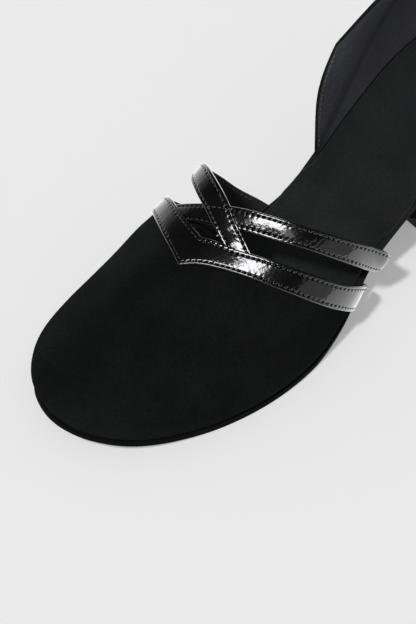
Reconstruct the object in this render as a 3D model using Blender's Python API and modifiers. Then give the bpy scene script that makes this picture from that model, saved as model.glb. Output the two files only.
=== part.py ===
"""Left dance shoe: closed round toe, V throat band, two crossed instep straps, rear counter, flared heel.

Stations run from the toe tip (0) to the back of the heel, in millimetres. Girth g runs from -1 at the
inner edge of the sole over 0 on the instep ridge to +1 at the outer edge.
"""
import bpy
import numpy as np

MM = 0.001
GAP = 0.3                # clearance between neighbouring pieces
SOLE_FRONT = 3.5         # outsole under the ball
SOLE_WAIST = 2.2         # outsole under the arch and the heel seat
SOLE_MARGIN = 0.7        # outsole edge beyond the upper
INSOLE = 2.5
VAMP_WALL = 1.5
STRAP_WALL = 1.5
BAND_WALL = 1.3          # throat band lying on the vamp
COUNTER_WALL = 2.2
TIP_HEIGHT = 5.0         # replaceable tip under the heel
THROAT_LAP = 0.4         # share of the throat band's width that lies on the vamp
STRAP_FOOT = 0.998       # girth at which the straps stop above the sole
BAND_FOOT = 0.996        # girth at which the throat band stops above the sole
HEEL_FRONT = 156.5       # station of the heel's front lip
COUNTER_OUTER = 167.0    # front base of the counter, outer side
COUNTER_INNER = 151.5    # front base of the counter, inner side
COUNTER_SET_BACK = 7.0   # lean of the counter's front edges
COUNTER_CORNER = 9.0     # rounding of their top corners
ORIGIN_X = -0.365          # middle of the whole shoe in last coordinates
ORIGIN_Y = 113.185

TOE_TIP = (-6.5, -1.3)
HEEL_BACK = (0.0, 226.5)
# sole line: station, inner x, outer x
OUTLINE = [
    (0.6, -16.2, 4.0),
    (4.2, -22.5, 11.0),
    (10.4, -28.4, 18.5),
    (19.8, -33.5, 25.7),
    (38, -37.8, 34.1),
    (56, -39.4, 39.1),
    (72, -38.5, 41.1),
    (88, -35.9, 40.7),
    (102, -31.6, 38.3),
    (117, -26.9, 33.7),
    (136, -23.4, 26.7),
    (147, -23.6, 25.4),
    (156, -24.2, 25.2),
    (176, -25.3, 26.1),
    (196, -26.0, 26.6),
    (211, -24.0, 24.6),
    (220, -17.4, 17.4),
]
# rise of the sole line above its height under the ball: station, z
BOTTOM = [
    (0, 5.0),
    (12, 3.1),
    (30, 1.0),
    (52, 0.0),
    (92, 0.0),
    (112, 3.3),
    (130, 10.4),
    (150, 22.6),
    (172, 37.7),
    (190, 47.5),
    (210, 54.1),
    (228, 56.9),
]
# last sections: station, ridge x, ridge z, bulge inner, outer, rise inner, outer, flat inner, outer
SECTIONS = [
    (0, -5.6, 19.4, 7.0, 7.0, 0.72, 0.72, 0.62, 0.62),
    (34, -5.6, 28.3, 9.0, 9.0, 0.66, 0.66, 0.60, 0.58),
    (64, -7.3, 39.4, 12.6, 11.0, 0.64, 0.60, 0.60, 0.50),
    (73, -8.6, 41.8, 15.4, 11.3, 0.685, 0.586, 0.64, 0.472),
    (80, -10.1, 44.2, 16.0, 11.0, 0.69, 0.58, 0.69, 0.45),
    (92, -13.3, 51.4, 18.0, 9.5, 0.71, 0.58, 0.79, 0.42),
    (105, -14.8, 61.3, 20.5, 11.0, 0.75, 0.57, 0.83, 0.42),
    (120, -15.3, 68.8, 21.7, 16.0, 0.78, 0.57, 0.85, 0.42),
    (145, -15.3, 78.8, 21.7, 20.0, 0.78, 0.57, 0.85, 0.42),
]
# outward swell of the outer wall just above the sole: station, size
FOOT_SWELL = [
    (0, 0.0),
    (122, 0.0),
    (127, 1.3),
    (134, 4.4),
    (142, 2.0),
    (150, 2.0),
]
SWELL_PEAK = 0.09        # share of the rib where it is fullest
POLE = 36.0              # station where the toe ribs meet on the ridge
FULL = 62.0              # ribs run straight across from here back
POLE_MERGE = 14.0        # ribs of stations in front of this one end in the same point

# throat band: girth, front station, rear station; a sharp V on the ridge
BAND_INNER = [
    (-1.0, 101.5, 112.0),
    (-0.9, 92.8, 103.0),
    (-0.8, 85.8, 94.2),
    (-0.7, 81.7, 89.7),
    (-0.55, 78.3, 86.4),
    (-0.4, 74.7, 84.2),
    (-0.23, 70.5, 81.4),
    (-0.12, 68.0, 80.1),
    (0.0, 65.3, 79.0),
]
BAND_OUTER = [
    (0.0, 65.3, 79.0),
    (0.08, 70.6, 81.4),
    (0.17, 75.0, 83.8),
    (0.34, 82.5, 90.5),
    (0.5, 89.3, 97.8),
    (0.7, 99.4, 108.9),
    (0.86, 109.8, 120.5),
    (1.0, 120.0, 129.0),
]
# upper strap, inner sole to under the band: front girth, front station, rear girth, rear station, lift
OVER_STRAP = [
    (-1.0, 114.5, -1.0, 127.7, 0.0),
    (-0.8, 104.3, -0.84, 113.9, 0.0),
    (-0.5, 95.0, -0.6, 102.6, 0.4),
    (-0.24, 90.0, -0.28, 98.3, 1.3),
    (-0.06, 86.8, 0.02, 94.3, 1.3),
    (0.04, 84.7, 0.14, 90.9, 1.3),
    (0.14, 82.5, 0.25, 88.5, 0.0),
    (0.245, 82.0, 0.35, 86.9, 0.0),
]
# lower strap, outer sole to under the band, same columns
UNDER_STRAP = [
    (1.0, 134.9, 1.0, 141.4, 0.0),
    (0.88, 127.0, 0.9, 136.8, 0.0),
    (0.72, 117.6, 0.75, 127.9, 0.0),
    (0.51, 105.6, 0.55, 115.7, 0.0),
    (0.32, 96.0, 0.36, 105.2, 0.0),
    (0.16, 89.8, 0.18, 97.5, 0.0),
    (0.02, 84.5, 0.03, 92.4, 0.0),
    (-0.14, 81.0, -0.2, 86.9, 0.0),
    (-0.31, 77.0, -0.48, 81.3, 0.0),
]
# insole edge inside the sole line: station, inner side, outer side
INSOLE_INSET = [
    (0, 1.9, 1.9),
    (130, 1.9, 1.9),
    (134, 0.3, 1.9),
    (142, 0.3, 1.9),
    (144, 0.8, 1.9),
    (149, 2.9, 0.3),
    (159, 2.9, 0.3),
    (165, 2.9, 2.9),
    (228, 2.9, 2.9),
]
# counter wall: share of height, lean outward at the back, lean outward at the sides
COUNTER_LEAN = [
    (0.0, 0.0, 0.0),
    (0.3, 2.4, 2.2),
    (0.6, 1.2, 4.2),
    (1.0, -3.5, 5.6),
]
# counter height: distance from the back along the wall as a share, height
COUNTER_TOP = [
    (0.0, 46.0),
    (0.3, 44.5),
    (0.7, 41.0),
    (1.0, 38.0),
]
# heel block: share of height, half width, front station, back station, share of the seat's shape
HEEL_ROWS = [
    (0.0, 15.8, 172.0, 206.0, 0.0),
    (0.12, 15.0, 172.4, 205.4, 0.02),
    (0.28, 15.2, 171.4, 206.0, 0.12),
    (0.44, 16.8, 168.8, 208.8, 0.38),
    (0.6, 19.3, 165.2, 213.6, 0.68),
    (0.78, 22.5, 160.9, 219.4, 0.9),
    (0.92, 24.6, 158.0, 223.6, 0.98),
    (1.0, 25.5, 156.5, 225.7, 1.0),
]

COLORS = {
    "outsole": (0.028, 0.028, 0.032, 0.7),
    "insole": (0.016, 0.017, 0.018, 0.9),
    "vamp": (0.008, 0.0085, 0.0085, 0.85),
    "front_strap": (0.006, 0.006, 0.0065, 0.12),
    "crossed_straps": (0.006, 0.006, 0.0065, 0.12),
    "counter": (0.010, 0.0105, 0.012, 0.85),
    "heel": (0.006, 0.0065, 0.006, 0.2),
    "top_piece": (0.02, 0.02, 0.02, 0.75),
}


def smooth(xs, ys):
    """Natural cubic through a table's rows."""
    xs = np.asarray(xs, float)
    ys = np.asarray(ys, float)
    n = len(xs)
    h = np.diff(xs)
    a = np.eye(n)
    r = np.zeros(n)
    for i in range(1, n - 1):
        a[i, i - 1:i + 2] = h[i - 1], 2 * (h[i - 1] + h[i]), h[i]
        r[i] = 6 * ((ys[i + 1] - ys[i]) / h[i] - (ys[i] - ys[i - 1]) / h[i - 1])
    m = np.linalg.solve(a, r)

    def value(x):
        x = np.clip(np.asarray(x, float), xs[0], xs[-1])
        i = np.clip(np.searchsorted(xs, x, side="right") - 1, 0, n - 2)
        u = x - xs[i]
        w = xs[i + 1] - x
        bend = (m[i] * w**3 + m[i + 1] * u**3) / (6 * h[i])
        return bend + (ys[i] / h[i] - m[i] * h[i] / 6) * w + (ys[i + 1] / h[i] - m[i + 1] * h[i] / 6) * u
    return value


def steady(xs, ys):
    """Cubic through a table's rows that never overshoots them, so equal rows stay flat."""
    xs = np.asarray(xs, float)
    ys = np.asarray(ys, float)
    h = np.diff(xs)
    d = np.diff(ys) / h
    m = np.zeros(len(xs))
    m[0] = d[0]
    m[-1] = d[-1]
    for i in range(1, len(xs) - 1):
        if d[i - 1] * d[i] > 0:
            w1 = 2 * h[i] + h[i - 1]
            w2 = h[i] + 2 * h[i - 1]
            m[i] = (w1 + w2) / (w1 / d[i - 1] + w2 / d[i])

    def value(x):
        x = np.clip(np.asarray(x, float), xs[0], xs[-1])
        i = np.clip(np.searchsorted(xs, x, side="right") - 1, 0, len(xs) - 2)
        t = (x - xs[i]) / h[i]
        ends = (1 + 2 * t) * (1 - t)**2 * ys[i] + t * t * (3 - 2 * t) * ys[i + 1]
        return ends + t * (1 - t)**2 * h[i] * m[i] + t * t * (t - 1) * h[i] * m[i + 1]
    return value


def closed_curve(points):
    """Closed smooth curve through points, parameter 0 to 1; also the parameter of each point."""
    p = np.asarray(points, float)
    n = len(p)
    h = np.linalg.norm(np.roll(p, -1, 0) - p, axis=1)**0.5
    t = np.concatenate([[0], np.cumsum(h)])
    a = np.zeros((n, n))
    r = np.zeros((n, 2))
    for i in range(n):
        before = (i - 1) % n
        after = (i + 1) % n
        a[i, before] += h[before]
        a[i, i] += 2 * (h[before] + h[i])
        a[i, after] += h[i]
        r[i] = 6 * ((p[after] - p[i]) / h[i] - (p[i] - p[before]) / h[before])
    m = np.linalg.solve(a, r)

    def value(s):
        s = np.asarray(s, float) % 1.0 * t[-1]
        i = np.clip(np.searchsorted(t, s, side="right") - 1, 0, n - 1)
        j = (i + 1) % n
        g = h[i][..., None]
        u = (s - t[i])[..., None]
        w = g - u
        bend = (m[i] * w**3 + m[j] * u**3) / (6 * g)
        return bend + (p[i] / g - m[i] * g / 6) * w + (p[j] / g - m[j] * g / 6) * u
    return value, t / t[-1]


def column(table, index, kind=smooth):
    rows = np.asarray(table, float)
    return kind(rows[:, 0], rows[:, index])


outer_points = [(row[2], row[0]) for row in OUTLINE]
inner_points = [(row[1], row[0]) for row in OUTLINE[::-1]]
outline, knots = closed_curve([TOE_TIP] + outer_points + [HEEL_BACK] + inner_points)
U_BACK = knots[len(OUTLINE) + 1]
bottom = column(BOTTOM, 1, steady)
(ridge_x, ridge_z, bulge_in, bulge_out, rise_in, rise_out, flat_in, flat_out) = [
    column(SECTIONS, k) for k in range(1, 9)]
foot_swell = column(FOOT_SWELL, 1, steady)
DENSE = np.linspace(0, 1, 4001)
DENSE_POINTS = outline(DENSE)


def edge_parameter(station, side):
    """Outline parameter at a station; side +1 outer, -1 inner."""
    keep = DENSE <= U_BACK if side > 0 else DENSE >= U_BACK
    order = np.argsort(DENSE_POINTS[keep][:, 1])
    return np.interp(station, DENSE_POINTS[keep][order, 1], DENSE[keep][order])


def outward(u):
    t = outline(u + 1e-4) - outline(u - 1e-4)
    t = t / np.linalg.norm(t, axis=-1, keepdims=True)
    return np.stack([t[..., 1], -t[..., 0]], -1)


def ridge_station(y):
    k = FULL / (FULL - POLE)
    near = POLE + (FULL - POLE) * (np.clip(y, 0, FULL) / FULL)**k
    return np.where(y < FULL, near, y)


def rib(u, v):
    """Last surface: outline parameter u, share v of the rib from the sole line to the ridge."""
    u, v = np.broadcast_arrays(np.asarray(u, float), np.asarray(v, float))
    foot = outline(u)
    n = outward(u)
    y = foot[..., 1]
    outer = (u % 1.0) <= U_BACK
    bulge = np.where(outer, bulge_out(y), bulge_in(y))
    rise = np.where(outer, rise_out(y), rise_in(y))
    flat = np.where(outer, flat_out(y), flat_in(y))
    top = ridge_station(y)
    slope = ridge_z(top + 0.5) - ridge_z(top - 0.5)
    p0 = np.stack([foot[..., 0], y, bottom(y) + GAP], -1)
    p3 = np.stack([ridge_x(top), top, ridge_z(top)], -1)
    height = p3[..., 2] - p0[..., 2]
    p1 = p0 + np.stack([n[..., 0] * bulge, n[..., 1] * bulge, rise * height], -1)
    d = (p0 - p3) * flat[..., None]
    p2 = p3 + np.stack([d[..., 0], d[..., 1], d[..., 1] * slope], -1)
    w = v[..., None]
    swell = np.where(outer, foot_swell(y), 0.0) * v / SWELL_PEAK * np.exp(1 - v / SWELL_PEAK)
    lift = np.stack([n[..., 0] * swell, n[..., 1] * swell, 0 * swell], -1)
    return lift + (1 - w)**3 * p0 + 3 * (1 - w)**2 * w * p1 + 3 * (1 - w) * w**2 * p2 + w**3 * p3


def last_point(station, girth):
    station, girth = np.broadcast_arrays(np.asarray(station, float), np.asarray(girth, float))
    u = np.where(girth >= 0, edge_parameter(station, 1), edge_parameter(station, -1))
    return rib(u, 1 - np.abs(girth))


def lifted(station, girth, lift):
    """Last surface moved out along its normal."""
    along = last_point(station + 0.3, girth) - last_point(station - 0.3, girth)
    up = np.clip(girth + 0.01, -1, 1)
    down = np.clip(girth - 0.01, -1, 1)
    across = last_point(station, up) - last_point(station, down)
    n = np.cross(across, along)
    n = n / np.linalg.norm(n, axis=-1, keepdims=True)
    return last_point(station, girth) + n * np.asarray(lift, float)[..., None]


def world(points):
    p = np.asarray(points, float).reshape(-1, 3)
    return (p - np.array([ORIGIN_X, ORIGIN_Y, -SOLE_FRONT])) * MM


def add_object(name, points, faces, group):
    mesh = bpy.data.meshes.new(name)
    mesh.from_pydata(world(points).tolist(), [], faces)
    mesh.validate()
    mesh.update()
    obj = bpy.data.objects.new(name, mesh)
    group.objects.link(obj)
    return obj


def quads(rows, cols):
    faces = []
    for j in range(rows - 1):
        for i in range(cols - 1):
            a = j * cols + i
            faces.append((a, a + 1, a + cols + 1, a + cols))
    return faces


def wall(obj, thickness, outside=False):
    """Give a sheet its wall, inward or outward from its face normals."""
    mod = obj.modifiers.new("wall", "SOLIDIFY")
    mod.thickness = thickness * MM
    mod.offset = 1.0 if outside else -1.0
    mod.use_even_offset = True
    mod.use_quality_normals = True
    mod.use_rim = True
    return mod


def paint(obj, name):
    red, green, blue, rough = COLORS[name]
    mat = bpy.data.materials.new(name)
    mat.use_nodes = True
    shader = mat.node_tree.nodes["Principled BSDF"]
    shader.inputs["Base Color"].default_value = (red, green, blue, 1.0)
    shader.inputs["Roughness"].default_value = rough
    shader.inputs["Metallic"].default_value = 0.0
    obj.data.materials.append(mat)


def band_edges(girth):
    """Front and rear station of the throat band at a girth."""
    out = []
    for index in (1, 2):
        inner = column(BAND_INNER, index, steady)(girth)
        outer = column(BAND_OUTER, index, steady)(girth)
        out.append(np.where(np.asarray(girth) < 0, inner, outer))
    return out


def throat(girth):
    front, rear = band_edges(girth)
    return front + THROAT_LAP * (rear - front)


def slab_outline(offset):
    """Sole line moved outward by offset(station, side): lowest point, highest point, inner and outer x."""
    side = np.where(DENSE <= U_BACK, 1, -1)
    p = DENSE_POINTS + outward(DENSE) * offset(DENSE_POINTS[:, 1], side)[:, None]
    tip = p[np.argmin(p[:, 1])]
    back = p[np.argmax(p[:, 1])]
    sides = []
    for sign in (-1, 1):
        keep = side == sign
        order = np.argsort(p[keep][:, 1])
        sides.append((p[keep][order, 1], p[keep][order, 0]))
    return tip, back, sides


def slab_grid(offset, rows, cols):
    """Sheet of points inside a moved sole line, a row per station; its first and last rows are points."""
    tip, back, sides = slab_outline(offset)
    share = np.linspace(0, 1, rows)
    share = share - np.sin(2 * np.pi * share) / (2 * np.pi) * 0.8
    stations = tip[1] + (back[1] - tip[1]) * share
    points = [(tip[0], tip[1])]
    for y in stations[1:-1]:
        left = np.interp(y, *sides[0])
        right = np.interp(y, *sides[1])
        for k in np.linspace(0, 1, cols):
            points.append((left + (right - left) * k, y))
    points.append((back[0], back[1]))
    faces = []
    for i in range(cols - 1):
        faces.append((0, 2 + i, 1 + i))
    body = rows - 2
    for face in quads(body, cols):
        faces.append(tuple(1 + k for k in face))
    last = 1 + body * cols
    for i in range(cols - 1):
        faces.append((last, last - cols + i, last - cols + i + 1))
    rim = [0] + [1 + j * cols + cols - 1 for j in range(body)]
    rim += [last] + [1 + j * cols for j in range(body - 1, -1, -1)]
    return np.array(points), faces, rim


def sole_thickness(y):
    return steady([95, 125, 228], [SOLE_FRONT, SOLE_WAIST, SOLE_WAIST])(y)


def make_outsole(group):
    def offset(y, side):
        return steady([0, 110, 135, 160, 228], [SOLE_MARGIN, SOLE_MARGIN, 0.3, 0.6, 0.6])(y) + 0 * side
    flat, faces, rim = slab_grid(offset, 46, 9)
    z = bottom(flat[:, 1])
    top = np.column_stack([flat, z])
    under = np.column_stack([flat, z - sole_thickness(flat[:, 1])])
    n = len(flat)
    solid = [face for face in faces]
    solid += [tuple(n + k for k in face[::-1]) for face in faces]
    for a, b in zip(rim, rim[1:] + rim[:1]):
        solid.append((b, a, n + a, n + b))
    return add_object("outsole", np.vstack([top, under]), solid, group)


def make_insole(group):
    inner = column(INSOLE_INSET, 1, steady)
    outer = column(INSOLE_INSET, 2, steady)

    def offset(y, side):
        return -np.where(side > 0, outer(y), inner(y))
    flat, faces, rim = slab_grid(offset, 62, 7)
    obj = add_object("insole", np.column_stack([flat, bottom(flat[:, 1]) + GAP]), faces, group)
    wall(obj, INSOLE, outside=True)
    return obj


def make_vamp(group, per_side=22, rows=12):
    """Toe wall: loops around the toe at constant girth, their ends on the throat line."""
    share = np.linspace(1, 0, per_side + 1)**1.8
    points = []
    for v in np.linspace(0, 1, rows):
        outer = throat(1 - v) * share
        inner = throat(v - 1) * share[::-1][1:]
        u = np.concatenate([edge_parameter(outer, 1), edge_parameter(inner, -1)])
        u[per_side] = 0.0
        points.append(rib(u, v))
    points = np.array(points)
    cols = 2 * per_side + 1
    used = {}
    order = []
    index = np.zeros((rows, cols), int)
    for j in range(rows):
        for i in range(cols):
            key = (j, i)
            if j == rows - 1:
                mirror = min(i, cols - 1 - i)
                key = (j, mirror if share[mirror] * throat(0.0) > POLE_MERGE else per_side)
            if key not in used:
                used[key] = len(order)
                order.append(points[j, i])
            index[j, i] = used[key]
    faces = []
    for j in range(rows - 1):
        for i in range(cols - 1):
            face = [index[j, i + 1], index[j, i], index[j + 1, i], index[j + 1, i + 1]]
            faces.append(tuple(dict.fromkeys(int(k) for k in face)))
    obj = add_object("vamp", order, faces, group)
    wall(obj, VAMP_WALL)
    return obj


def make_front_strap(group, count=27, cols=4):
    half = np.linspace(-BAND_FOOT, 0, count)
    girth = np.concatenate([half, np.linspace(0, BAND_FOOT, count)[1:]])
    front, rear = band_edges(girth)
    w = np.linspace(0, 1, cols)
    station = front[:, None] + (rear - front)[:, None] * w
    points = lifted(station, np.broadcast_to(girth[:, None], station.shape), np.full(station.shape, GAP))
    faces = [face[::-1] for face in quads(len(girth), cols)]
    obj = add_object("front_strap", points, faces, group)
    wall(obj, BAND_WALL, outside=True)
    return obj


def strap_sheet(name, table, group, count, cols=4):
    rows = np.array(table, float)
    rows[:, 0] = np.clip(rows[:, 0], -STRAP_FOOT, STRAP_FOOT)
    rows[:, 2] = np.clip(rows[:, 2], -STRAP_FOOT, STRAP_FOOT)
    t = np.arange(len(rows))
    at = np.linspace(0, len(rows) - 1, count)
    gf, sf, gr, sr, lift = [steady(t, rows[:, k])(at)[:, None] for k in range(5)]
    w = np.linspace(0, 1, cols)
    girth = gf + (gr - gf) * w
    station = sf + (sr - sf) * w
    points = lifted(station, girth, np.broadcast_to(lift, girth.shape))
    faces = quads(count, cols)
    if rows[0, 0] < 0:
        faces = [face[::-1] for face in faces]
    obj = add_object(name, points, faces, group)
    wall(obj, STRAP_WALL)
    return obj


def make_crossed_straps(group, tools):
    over = strap_sheet("over_strap", OVER_STRAP, tools, 33)
    obj = strap_sheet("crossed_straps", UNDER_STRAP, group, 35)
    join = obj.modifiers.new("join", "BOOLEAN")
    join.operation = "UNION"
    join.solver = "EXACT"
    join.object = over
    return obj


def make_counter(group, cols=37, rows=10):
    """Rear wall: each row runs round the heel between front edges that lean and round off backward."""
    lean_back = column(COUNTER_LEAN, 1)
    lean_side = column(COUNTER_LEAN, 2)
    height = column(COUNTER_TOP, 1, steady)
    points = []
    for t in np.linspace(0, 1, rows):
        set_back = COUNTER_SET_BACK * t + COUNTER_CORNER * t**6
        first = edge_parameter(COUNTER_OUTER + set_back, 1)
        end = edge_parameter(COUNTER_INNER + set_back, -1)
        u = np.linspace(first, end, cols)
        away = np.where(u < U_BACK, (U_BACK - u) / (U_BACK - first), (u - U_BACK) / (end - U_BACK))
        side = away**1.5
        lean = lean_back(t) * (1 - side) + lean_side(t) * side
        foot = outline(u) + outward(u) * lean[:, None]
        z = bottom(outline(u)[:, 1]) + GAP + height(away) * t
        points.append(np.column_stack([foot, z]))
    obj = add_object("counter", np.array(points), quads(rows, cols), group)
    wall(obj, COUNTER_WALL)
    return obj


def heel_rings(table, per_side):
    """Heel sections from the flat foot to the sloping seat, outer side then inner side, by station."""
    depth = np.sin(np.linspace(0, np.pi / 2, per_side + 1))
    seat_y = HEEL_FRONT + (HEEL_ROWS[-1][3] - HEEL_FRONT) * depth
    seat = []
    for side in (1, -1):
        u = edge_parameter(seat_y, side)
        seat.append(outline(u)[:, 0] - side * 0.5)
    seat[0][-1] = 0.0
    seat[1][-1] = 0.0
    tip = np.sqrt(1 - depth**3)
    rings = []
    for share, half, front, back, form in table:
        y = front + (back - front) * depth
        right = (1 - form) * tip * half + form * seat[0]
        left = -(1 - form) * tip * half + form * seat[1]
        seat_z = bottom(seat_y) - sole_thickness(seat_y) - GAP
        low = TIP_HEIGHT + GAP - SOLE_FRONT
        z = low + (seat_z - low) * share
        ring = np.column_stack([right, y, z])
        ring = np.vstack([ring, np.column_stack([left, y, z])[-2::-1]])
        rings.append(ring)
    return rings


def closed_rings(name, rings, group):
    """Solid between rings of paired points, its ends filled straight across between the pairs."""
    n = len(rings[0])
    faces = []
    for j in range(len(rings) - 1):
        for i in range(n):
            a = j * n + i
            b = j * n + (i + 1) % n
            faces.append((a, b, b + n, a + n))
    half = n // 2
    top = (len(rings) - 1) * n
    for i in range(half):
        low = (i + 1, i, n - 1 - i, n - 2 - i)
        faces.append(tuple(dict.fromkeys(low)))
        faces.append(tuple(dict.fromkeys(top + k for k in low[::-1])))
    return add_object(name, np.vstack(rings), faces, group)


def make_heel(group):
    rows = np.array(HEEL_ROWS)
    shares = np.linspace(0, 1, 13)
    table = [[s] + [float(steady(rows[:, 0], rows[:, k])(s)) for k in range(1, 5)] for s in shares]
    return closed_rings("heel", heel_rings(table, 14), group)


def make_top_piece(group):
    top = heel_rings([HEEL_ROWS[0]], 14)[0]
    top[:, 2] = TIP_HEIGHT - SOLE_FRONT
    middle = np.array([0.0, top[:, 1].mean(), 0.0])
    foot = middle + (top - middle) * 1.02
    foot[:, 2] = -SOLE_FRONT
    return closed_rings("top_piece", [foot, top], group)


for old in list(bpy.data.objects):
    bpy.data.objects.remove(old, do_unlink=True)

shoe = bpy.data.collections.new("dance_shoe")
tools = bpy.data.collections.new("cutters")
bpy.context.scene.collection.children.link(shoe)
bpy.context.scene.collection.children.link(tools)

pieces = [
    make_outsole(shoe),
    make_insole(shoe),
    make_vamp(shoe),
    make_front_strap(shoe),
    make_crossed_straps(shoe, tools),
    make_counter(shoe),
    make_heel(shoe),
    make_top_piece(shoe),
]
for piece in pieces:
    paint(piece, piece.name)
for tool in tools.objects:
    tool.hide_render = True
    tool.display_type = "WIRE"
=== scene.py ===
"""Looks of the left dance shoe: nap leather toe, glossy stitched straps, suede bed, matt heel."""

import math

import bpy
import numpy as np
from mathutils import Matrix, Vector

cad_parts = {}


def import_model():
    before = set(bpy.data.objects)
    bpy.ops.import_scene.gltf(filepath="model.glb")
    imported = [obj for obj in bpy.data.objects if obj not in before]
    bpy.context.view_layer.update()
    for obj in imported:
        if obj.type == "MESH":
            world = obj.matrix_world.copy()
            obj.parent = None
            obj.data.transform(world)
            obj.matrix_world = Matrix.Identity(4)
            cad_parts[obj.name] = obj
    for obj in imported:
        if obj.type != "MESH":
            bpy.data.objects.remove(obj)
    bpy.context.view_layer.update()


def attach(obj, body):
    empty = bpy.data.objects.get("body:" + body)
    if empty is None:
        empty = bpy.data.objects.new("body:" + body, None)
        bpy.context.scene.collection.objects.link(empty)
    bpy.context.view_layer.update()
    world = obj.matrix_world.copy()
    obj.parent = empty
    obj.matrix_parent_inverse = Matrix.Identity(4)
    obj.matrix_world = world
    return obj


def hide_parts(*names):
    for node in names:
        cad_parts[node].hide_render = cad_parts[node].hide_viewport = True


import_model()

# sizes are millimetres; stations run from the toe to the heel, and girth from -1 at the inner sole line
# over 0 at the ridge to 1 at the outer sole line
MM = 0.001
GAP = 0.3                # clearance between neighbouring pieces
SOLE_FRONT = 3.5         # outsole under the ball
SOLE_WAIST = 2.2         # outsole under the arch and the heel seat
INSOLE = 2.5             # thickness of the insole
INSOLE_ENDS = 1.9        # its inset at the toe tip and at the back
VAMP_WALL = 1.5
STRAP_WALL = 1.5
BAND_WALL = 1.3          # throat band lying on the vamp
COUNTER_WALL = 2.2
TIP_HEIGHT = 5.0         # replaceable tip under the heel
TIP_SPREAD = 1.02        # foot of the tip against its top
TIP_BEVEL = 0.4
THROAT_LAP = 0.4         # share of the throat band's width that lies on the vamp
STRAP_FOOT = 0.998       # girth at which the straps stop above the sole
BAND_FOOT = 0.996        # girth at which the throat band stops above the sole
HEEL_FRONT = 156.5       # station of the heel's front lip
HEEL_INSET = 0.5         # heel seat inside the sole line
HEEL_BEVEL = 0.5
HEEL_LEVELS = 46         # sections of the heel, points on each side
HEEL_PER_SIDE = 44
COUNTER_OUTER = 167.0    # station of the counter's front edge at the sole, outer side
COUNTER_INNER = 151.5    # the same on the inner side
COUNTER_SET_BACK = 7.0   # how far that edge leans back up to the topline
COUNTER_CORNER = 9.0     # further set-back that rounds its upper corner
COUNTER_LENGTH = 150.0   # about its length round the heel
COUNTER_ROLL = 0.8       # rounding of its edges, from this angle up
COUNTER_ROLL_ANGLE = 50
ORIGIN_X = -0.365        # middle of the shoe's outer box
ORIGIN_Y = 113.185
STITCH_PITCH = 2.2
STITCH_INSET = 1.5       # stitch row from a strap's edge
STITCH_FILL = 0.70       # share of the pitch that a stitch fills
STITCH_WIDE = 0.62
STITCH_HIGH = 0.56
SHARP_ANGLE = 40         # degrees beyond which an edge of a block or sheet stays sharp
OUTSOLE_STATIONS = 150
INSOLE_STATIONS = 170
TOE_CROWDING = 1.8       # crowds the vamp's columns toward the toe
OUTLINE_STEP = 1e-4      # steps of numerical slopes: outline parameter, millimetres, girth
SLOPE_STEP = 0.3
GIRTH_STEP = 0.01
RIDGE_SIDE = 1e-9        # keeps the band's inner half on its side of the ridge

TOE_TIP = (-6.5, -1.3)
HEEL_BACK = (0.0, 226.5)
# sole line: station, inner x, outer x
OUTLINE = [
    (0.6, -16.2, 4.0),
    (4.2, -22.5, 11.0),
    (10.4, -28.4, 18.5),
    (19.8, -33.5, 25.7),
    (38, -37.8, 34.1),
    (56, -39.4, 39.1),
    (72, -38.5, 41.1),
    (88, -35.9, 40.7),
    (102, -31.6, 38.3),
    (117, -26.9, 33.7),
    (136, -23.4, 26.7),
    (147, -23.6, 25.4),
    (156, -24.2, 25.2),
    (176, -25.3, 26.1),
    (196, -26.0, 26.6),
    (211, -24.0, 24.6),
    (220, -17.4, 17.4),
]
# rise of the sole line: station, z
BOTTOM = [
    (0, 5.0),
    (12, 3.1),
    (30, 1.0),
    (52, 0.0),
    (92, 0.0),
    (112, 3.3),
    (130, 10.4),
    (150, 22.6),
    (172, 37.7),
    (190, 47.5),
    (210, 54.1),
    (228, 56.9),
]
# last sections: station, ridge x, ridge z, bulge inner, outer, rise inner, outer, flat inner, outer
SECTIONS = [
    (0, -5.6, 19.4, 7.0, 7.0, 0.72, 0.72, 0.62, 0.62),
    (34, -5.6, 28.3, 9.0, 9.0, 0.66, 0.66, 0.60, 0.58),
    (64, -7.3, 39.4, 12.6, 11.0, 0.64, 0.60, 0.60, 0.50),
    (73, -8.6, 41.8, 15.4, 11.3, 0.685, 0.586, 0.64, 0.472),
    (80, -10.1, 44.2, 16.0, 11.0, 0.69, 0.58, 0.69, 0.45),
    (92, -13.3, 51.4, 18.0, 9.5, 0.71, 0.58, 0.79, 0.42),
    (105, -14.8, 61.3, 20.5, 11.0, 0.75, 0.57, 0.83, 0.42),
    (120, -15.3, 68.8, 21.7, 16.0, 0.78, 0.57, 0.85, 0.42),
    (145, -15.3, 78.8, 21.7, 20.0, 0.78, 0.57, 0.85, 0.42),
]
# outward swell of the outer wall just above the sole: station, size
FOOT_SWELL = [
    (0, 0.0),
    (122, 0.0),
    (127, 1.3),
    (134, 4.4),
    (142, 2.0),
    (150, 2.0),
]
SWELL_PEAK = 0.09        # share of the rib where it is fullest
POLE = 36.0              # station where the ridge starts and the front ribs meet
FULL = 62.0              # station from which a rib meets the ridge at its own station
POLE_MERGE = 6.0         # ribs with a foot in front of this station share one point on the ridge
# throat band: girth, front station, rear station
BAND_INNER = [
    (-1.0, 101.5, 112.0),
    (-0.9, 92.8, 103.0),
    (-0.8, 85.8, 94.2),
    (-0.7, 81.7, 89.7),
    (-0.55, 78.3, 86.4),
    (-0.4, 74.7, 84.2),
    (-0.23, 70.5, 81.4),
    (-0.12, 68.0, 80.1),
    (0.0, 65.3, 79.0),
]
BAND_OUTER = [
    (0.0, 65.3, 79.0),
    (0.08, 70.6, 81.4),
    (0.17, 75.0, 83.8),
    (0.34, 82.5, 90.5),
    (0.5, 89.3, 97.8),
    (0.7, 99.4, 108.9),
    (0.86, 109.8, 120.5),
    (1.0, 120.0, 129.0),
]
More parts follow.
